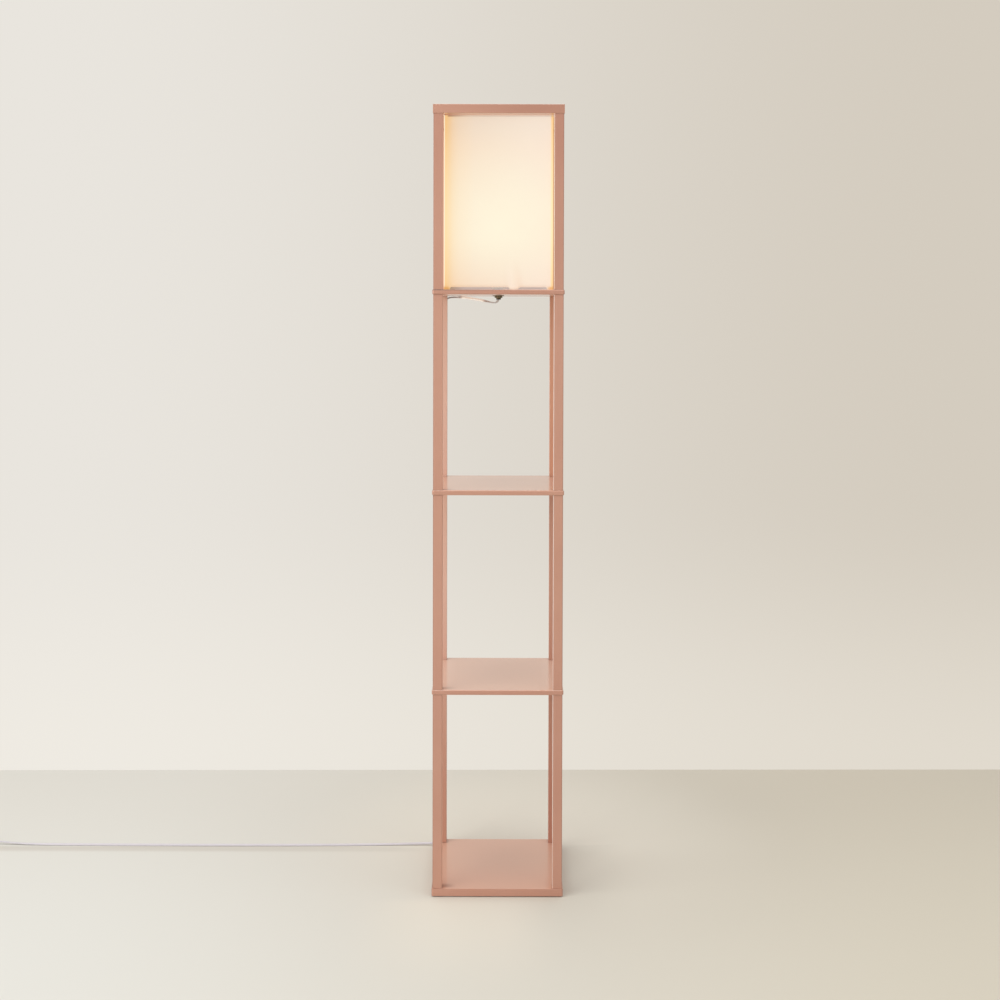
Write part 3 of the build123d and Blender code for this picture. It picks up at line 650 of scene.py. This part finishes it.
# The dent over the tongue has a light side and a shaded one.
dent = (dent_top + 0.004 - z).between(0.0, 0.075) * in_front
from_dent = x - (0.0165 + 0.15 * (dent_top - z))
dent_light = dent * (1 - abs(from_dent).between(0.0, 0.011))
dent_shade = dent * (1 - abs(from_dent - 0.017).between(0.0, 0.013))
# The corner legs are dimmer, and their inner faces are in shade.
leg = (1 - z.between(1.2225, 1.2290)) * (1 - from_fold.between(0.12, 0.24))
outward = spot.node(
    "ShaderNodeVectorMath",
    {"operation": "DOT_PRODUCT"},
    {0: spot.stretched(1.0, 1.0, 0.0), 1: facing},
    output=1,
)
inner_foot = (-outward).between(0.0, 0.01) * (1 - z.between(1.2300, 1.2380))
foot_tone = x.between(-0.112, -0.070).blend((0.16, 0.12, 0.09, 1.0), (0.32, 0.30, 0.31, 1.0))
# Painted shade: in front the upper edge is darker under the rail, over a fine line of shade that
# ends towards the right.
top_edge_shade = z.between(1.5680, 1.5686) * in_front
shadow_line = z.within(1.5652, 1.5662, 1.5676, 1.5684) * x.between(-0.1040, -0.1000)
shadow_line = shadow_line * in_front * (1 - 0.75 * from_left)

sheet_share = 0.40
own_tone = [sheet_share * part for part in linear(238, 222, 204)]


def glow_colour(red, green, blue, reach=1.0):
    """The light that the sheet adds to its own tone, where the room's light reaches it by reach,
    to look like this."""
    wanted = linear(red, green, blue)
    return (*(max(part - reach * tone, 0.0) for part, tone in zip(wanted, own_tone)), 1.0)


low_tone = to_right.blend(glow_colour(245, 219, 194), glow_colour(249, 229, 212))
top_tone = to_right.blend(glow_colour(242, 224, 204), glow_colour(249, 235, 218))
dim_tone = z.between(1.49, 1.57).blend(low_tone, top_tone)
warm_tone = dimming.blend(glow_colour(255, 233, 186, 0.55), glow_colour(244, 204, 148, 0.6))
top_edge_shade_tone = from_left.blend(glow_colour(196, 146, 112), glow_colour(232, 194, 170))
glow = dimming.blend(glow_colour(255, 247, 222), dim_tone)
for mask, tone in (
    (mottle.between(0.3, 0.7) * 0.10, glow_colour(250, 228, 206)),
    (dent_light * 0.4, glow_colour(254, 238, 222)),
    (dent_shade * 0.35, glow_colour(246, 216, 190)),
    (warm, warm_tone),
    (rim_highlight * 0.85, glow_colour(255, 248, 226, 0.5)),
    (leg * 0.8, glow_colour(226, 176, 118, 0.6)),
    (inner_foot, foot_tone),
    (top_edge_shade * 0.8, top_edge_shade_tone),
    (shadow_line * 0.9, (0.10, 0.05, 0.03, 1.0)),
):
    glow = mask.blend(glow, tone)
sheet_tone = (fibre.between(0.4, 0.8) * 0.1).blend((*own_tone, 1.0), (0.3, 0.24, 0.18, 1.0))
feed_sheet(
    Base_Color=(shadow_line * 0.9).blend(sheet_tone, colour(146, 96, 76)),
    Emission_Color=glow,
    Normal=(fibre * 0.5 + long_fibre * 0.5).bump(0.2, 0.0002),
)
sleeve_mesh.materials.clear()
sleeve_mesh.materials.append(laminate)
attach(sleeve, "shade")
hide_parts("shade_sleeve")

# ---------------------------------------------------------------- lamp holder
# A bronzed steel nipple with its washer and nut under the shelf, and above it a moulded
# cream holder on a nylon nut, with an aluminium screw shell and a brass contact leaf. The
# light on the cap's foot, seen through the gap under the sleeve, is painted in.
bronze, spot, feed_bronze = new_finish("bronzed_steel", Metallic=0.7)
worn = spot.noise(260.0, 4.0, 0.6)
feed_bronze(
    Base_Color=worn.between(0.42, 0.72).blend(colour(104, 94, 72), colour(158, 144, 114)),
    Roughness=0.38 + 0.25 * worn,
    Normal=worn.bump(0.2, 0.0002),
)
paint_over(["threaded_nipple", "nipple_washer", "lower_lock_nut"], bronze)

cream, spot, feed_cream = new_finish("holder_plastic", Specular_IOR_Level=0.45, Emission_Strength=1.0)
grit = spot.noise(700.0, 3.0)
stain = spot.noise(55.0, 3.0)
cap_foot = 1 - spot.part(2).between(1.2275, 1.2310)
cream_tone = stain.between(0.3, 0.7).blend(colour(236, 231, 220), colour(226, 219, 204))
feed_cream(
    Base_Color=cap_foot.blend(cream_tone, colour(238, 252, 255)),
    Emission_Color=cap_foot.blend((0.0, 0.0, 0.0, 1.0), (0.06, 0.12, 0.17, 1.0)),
    Roughness=0.28 + 0.2 * grit,
    Normal=grit.bump(0.15, 0.0002),
)
paint_over(["holder_cap", "holder_body", "upper_lock_nut"], cream)

dark, spot, feed_dark = new_finish("dark_plastic", Specular_IOR_Level=0.4)
grit = spot.noise(900.0, 3.0)
feed_dark(
    Base_Color=grit.between(0.3, 0.7).blend(colour(34, 30, 27), colour(50, 44, 40)),
    Roughness=0.35 + 0.2 * grit,
    Normal=grit.bump(0.15, 0.0002),
)
paint_over(["cord_bushing"], dark)

shell, spot, feed_shell = new_finish("aluminium", Metallic=1.0)
drawn = spot.stretched(40.0, 40.0, 1400.0).noise(1.0, 2.0)
dull = spot.noise(180.0, 3.0)
feed_shell(
    Base_Color=dull.between(0.3, 0.7).blend(colour(214, 214, 212), colour(196, 197, 198)),
    Roughness=0.28 + 0.2 * dull,
    Normal=drawn.bump(0.25, 0.0002),
)
paint_over(["screw_liner", "bulb_cap"], shell)

brass, spot, feed_brass = new_finish("brass", Metallic=1.0)
tarnish = spot.noise(220.0, 4.0)
feed_brass(
    Base_Color=tarnish.between(0.35, 0.75).blend(colour(222, 186, 112), colour(176, 138, 76)),
    Roughness=0.22 + 0.3 * tarnish,
    Normal=tarnish.bump(0.1, 0.0002),
)
paint_over(["centre_contact", "plug_blades"], brass)

# ---------------------------------------------------------------- bulb
# A pear-shaped bulb, frosted white inside and lit, on an aluminium screw cap. Black glass
# insulates the solder tip.
frosted, spot, feed_frosted = new_finish("frosted_glass", Roughness=0.28, Emission_Strength=1.0)
widest_z = 1.3247
from_widest = (spot.part(2) - widest_z) / 0.05
haze = spot.noise(60.0, 2.0)
heat = 1 - (from_widest * from_widest).between(0.0, 1.3)
feed_frosted(
    Base_Color=haze.between(0.3, 0.7).blend(colour(128, 124, 116), colour(116, 112, 104)),
    Emission_Color=heat.blend(colour(236, 190, 132), colour(246, 232, 196)),
    Normal=haze.bump(0.05, 0.0002),
)
paint_over(["bulb_glass"], frosted)

solder, spot, feed_solder = new_finish("solder", Metallic=1.0)
pits = spot.noise(900.0, 3.0)
feed_solder(
    Base_Color=pits.between(0.3, 0.7).blend(colour(168, 168, 164), colour(196, 195, 190)),
    Roughness=0.35 + 0.25 * pits,
    Normal=pits.bump(0.5, 0.0003),
)
paint_over(["bulb_tip"], solder)

vitrite, spot, feed_vitrite = new_finish("black_glass", Roughness=0.1)
swirl = spot.noise(300.0, 2.0)
feed_vitrite(
    Base_Color=swirl.between(0.3, 0.7).blend(colour(22, 20, 28), colour(38, 32, 46)),
    Normal=swirl.bump(0.1, 0.0002),
)
paint_over(["bulb_insulator"], vitrite)

# ---------------------------------------------------------------- cord to the foot switch
# Flat two-core lamp cord with a clear jacket that looks milky: 5.2 mm wide and 2.6 mm thick.
# It leaves the nipple, runs under the lamp shelf and down the rear left post, and lies on
# the floor with one core up.
cord_width = 0.0052
cord_thickness = 0.0026
ring_gap = 0.0012
arc_steps = 8
floor_tilt = math.radians(50)
# How high its middle is where it lies tilted on the floor.
lie = (cord_thickness + (cord_width - cord_thickness) * math.sin(floor_tilt)) / 2 + 0.0001
lead_points = [
    (0.0, 0.0, 1.2053),
    (0.0, 0.0, 1.2008),
    (-0.0046, 0.0043, 1.1945),
    (-0.0124, 0.0115, 1.1945),
    (-0.042, 0.042, 1.2016),
    (-0.070, 0.075, 1.2064),
    (-0.091, 0.105, 1.2072),
    (-0.108, 0.131, 1.2072),
    (-0.119, 0.144, 1.2010),
    (-0.122, 0.1465, 1.183),
    (-0.1207, 0.1400, 1.168),
    (-0.1205, 0.135, 1.1555),
    (-0.1205, 0.135, 1.1475),
    (-0.1205, 0.135, 0.045),
    (-0.1205, 0.1352, 0.024),
    (-0.1255, 0.1360, 0.012),
    (-0.1370, 0.1370, 0.0056),
    (-0.1600, 0.1378, 0.0042),
    (-0.2100, 0.1376, 0.0030),
    (-0.290, 0.1336, lie),
    (-0.560, 0.1302, lie),
    (-0.840, 0.1308, lie),
    (-1.010, 0.1326, lie),
    (-1.062, 0.1370, 0.003),
    (-1.098, 0.1375, 0.007),
    (-1.114, 0.1375, 0.007),
]


def cord_route(name, points):
    """The smooth line of a cord, as a NURBS spline on these points, and the points along it."""
    curve = bpy.data.curves.new(name, "CURVE")
    curve.dimensions = "3D"
    curve.resolution_u = 24
    spline = curve.splines.new("NURBS")
    spline.points.add(len(points) - 1)
    for control, point in zip(spline.points, points):
        control.co = (*point, 1.0)
    spline.order_u = 3
    spline.use_endpoint_u = True
    holder = bpy.data.objects.new(name, curve)
    bpy.context.collection.objects.link(holder)
    bpy.context.view_layer.update()
    line = bpy.data.meshes.new_from_object(holder)
    places = [vertex.co.copy() for vertex in line.vertices]
    bpy.data.objects.remove(holder)
    bpy.data.meshes.remove(line)
    kept = [places[0]]
    for place in places[1:]:
        if (place - kept[-1]).length > ring_gap:
            kept.append(place)
    kept[-1] = places[-1]
    return kept


def cord_outline():
    """The section of the cord: two round cores side by side with a shallow groove between them."""
    core = cord_thickness / 2
    shift = cord_width / 2 - core
    outline = []
    for side_sign in (1, -1):
        for step in range(arc_steps + 1):
            angle = math.radians(-100 + 200 * step / arc_steps)
            across = shift + core * math.cos(angle)
            over = core * math.sin(angle)
            outline.append((side_sign * across, side_sign * over))
    return outline


def cord_mesh(name, line, width_way):
    """A tube of the cord's section along the line. width_way gives the way its broad side lies."""
    outline = cord_outline()
    vertices = []
    for index, place in enumerate(line):
        before = line[max(index - 1, 0)]
        after = line[min(index + 1, len(line) - 1)]
        heading = (after - before).normalized()
        wide = width_way(index, heading)
        wide = (wide - heading * wide.dot(heading)).normalized()
        thick = heading.cross(wide)
        vertices += [place + wide * across + thick * over for across, over in outline]
    count = len(outline)
    faces = []
    for index in range(len(line) - 1):
        for corner in range(count):
            after = (corner + 1) % count
            first = index * count
            faces.append((first + corner, first + after, first + count + after, first + count + corner))
    faces.append(tuple(range(count - 1, -1, -1)))
    last = (len(line) - 1) * count
    faces.append(tuple(range(last, last + count)))
    mesh = bpy.data.meshes.new(name)
    mesh.from_pydata(vertices, [], faces)
    mesh.polygons.foreach_set("use_smooth", [True] * (len(faces) - 2) + [False] * 2)
    cord = bpy.data.objects.new(name, mesh)
    bpy.context.collection.objects.link(cord)
    return cord


jacket, spot, feed_jacket = new_finish(
    "clear_cord", Roughness=0.3, Coat_Weight=0.25, Coat_Roughness=0.2, Emission_Strength=1.0
)
x = spot.part(0)
z = spot.part(2)
milky = spot.noise(150.0, 2.0)
strands = spot.noise(1500.0, 2.0)
# Under the lamp shelf the cord has a painted highlight with a faint glow in its middle, and
# painted shade near the post.
hanging = z.between(1.186, 1.190)
lit_stretch = hanging * x.within(-0.084, -0.076, -0.036, -0.026)
shaded_stretch = hanging * (1 - x.between(-0.094, -0.086))
on_floor = 1 - z.between(0.008, 0.014)
jacket_tone = milky.between(0.3, 0.7).blend(colour(218, 212, 210), colour(208, 202, 200))
jacket_tone = lit_stretch.blend(jacket_tone, colour(253, 248, 238))
jacket_tone = (shaded_stretch * 0.7).blend(jacket_tone, colour(132, 102, 94))
jacket_tone = (on_floor * 0.75).blend(jacket_tone, colour(200, 196, 202))
feed_jacket(
    Base_Color=jacket_tone,
    Emission_Color=lit_stretch.blend((0.0, 0.0, 0.0, 1.0), (0.24, 0.22, 0.19, 1.0)),
    Normal=strands.bump(0.2, 0.0002),
)


def eased(share):
    """The same share from 0 to 1 with a soft start and end."""
    return share * share * (3 - 2 * share)


def lead_way(index, heading):
    """Broad side level where the cord runs level, against the post where it runs down it,
    turned to the front where it hangs under the lamp shelf, and tilted on the floor."""
    place = lead_line[index]
    down = Vector((0.0, 0.0, -1.0))
    upright = abs(heading.z) ** 2
    wide = Vector((-heading.y - 1.2 * upright, heading.x, 0.0)).normalized()
    past_post = share_between(-place.x, 0.13, 0.16)
    before_switch = share_between(place.x, -1.06, -0.96)
    tilt = floor_tilt * past_post * before_switch
    wide = (wide * math.cos(tilt) + down * math.sin(tilt)).normalized()
    from_bend = 1.0
    if place.z >= 1.19 and place.x >= -0.1:
        from_bend = share_between(abs(place.x + 0.055), 0.024, 0.038)
    level = 0.45 + 0.55 * eased(from_bend)
    return wide * level + down * (1 - level)


lead_line = cord_route("lead_route", lead_points)
lead = cord_mesh("cord_to_switch", lead_line, lead_way)
lead.data.materials.append(jacket)
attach(lead, "root")
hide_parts("cord_hanging", "cord_clipped", "cord_floor")
lead_length = sum((b - a).length for a, b in zip(lead_line, lead_line[1:]))

# ---------------------------------------------------------------- cord to the plug
# The same cord, wound into a neat coil on the floor as it is put away, in two layers. It
# winds inwards on the floor, climbs by one layer in half a turn and winds out again.
coil_turns = 3.5
coil_radius = 0.033
coil_step = 0.00595
coil_centre = (-1.238, 0.1045)
lower_layer = 0.0029
climb_turns = 0.5
climb_start = (coil_turns - climb_turns) / 2
points_per_turn = 14
# The control points stand this much farther out than the spline that they make.
point_share = 1 + 0.5 * math.tan(math.pi / points_per_turn) ** 2
coil_points = [
    (-1.2160, 0.1375, 0.007),
    (-1.2250, 0.1375, 0.0062),
]
for step in range(1, int(coil_turns * points_per_turn)):
    turn = step / points_per_turn
    angle = math.pi / 2 + 2 * math.pi * turn
    radius = (coil_radius - coil_step * min(turn, coil_turns - turn)) * point_share
    climb = share_between(turn, climb_start, climb_start + climb_turns)
    point_x = coil_centre[0] + radius * math.cos(angle)
    point_y = coil_centre[1] + radius * math.sin(angle)
    coil_points.append((point_x, point_y, lower_layer + coil_step * eased(climb)))
coil_points += [
    (-1.2370, 0.0712, 0.0088),
    (-1.2240, 0.0702, 0.0080),
    (-1.2170, 0.0700, 0.007),
    (-1.2120, 0.0700, 0.007),
]
coil_line = cord_route("coil_route", coil_points)
coil_travel = [0.0]
for before, after in zip(coil_line, coil_line[1:]):
    coil_travel.append(coil_travel[-1] + (after - before).length)
coil_length = coil_travel[-1]
twist_length = 0.06


def coil_way(index, heading):
    """Broad side level at the switch and the plug, and upright in the turns."""
    travel = min(coil_travel[index], coil_length - coil_travel[index])
    share = eased(share_between(travel, 0.0, twist_length))
    level = Vector((-heading.y, heading.x, 0.0))
    return level * (1 - share) + Vector((0.0, 0.0, 1.0)) * share


coil = cord_mesh("cord_to_plug", coil_line, coil_way)
coil.data.materials.append(jacket)
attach(coil, "root")
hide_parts("cord_coil")

# ---------------------------------------------------------------- clips, switch and plug
# Moulded white plastic: clips stuck on the rear left post, a foot switch with a push button,
# and soft reliefs and plug where the cord goes in.
white, spot, feed_white = new_finish("white_plastic", Specular_IOR_Level=0.5)
cast = spot.noise(40.0, 3.0)
texture = spot.noise(1100.0, 2.0)
feed_white(
    Base_Color=cast.between(0.3, 0.7).blend(colour(232, 229, 222), colour(224, 220, 211)),
    Roughness=0.3 + 0.12 * texture,
    Normal=texture.bump(0.12, 0.0002),
)
paint_over(["cord_clips", "switch_base", "switch_cover", "switch_button"], white)

soft_white, spot, feed_soft = new_finish("white_rubber", Specular_IOR_Level=0.4)
cast = spot.noise(60.0, 3.0)
feed_soft(
    Base_Color=cast.between(0.3, 0.7).blend(colour(228, 224, 216), colour(216, 211, 201)),
    Roughness=0.5 + 0.1 * cast,
    Normal=spot.noise(800.0, 2.0).bump(0.15, 0.0002),
)
paint_over(["switch_reliefs", "plug_body"], soft_white)

# ---------------------------------------------------------------- update
bpy.context.view_layer.update()
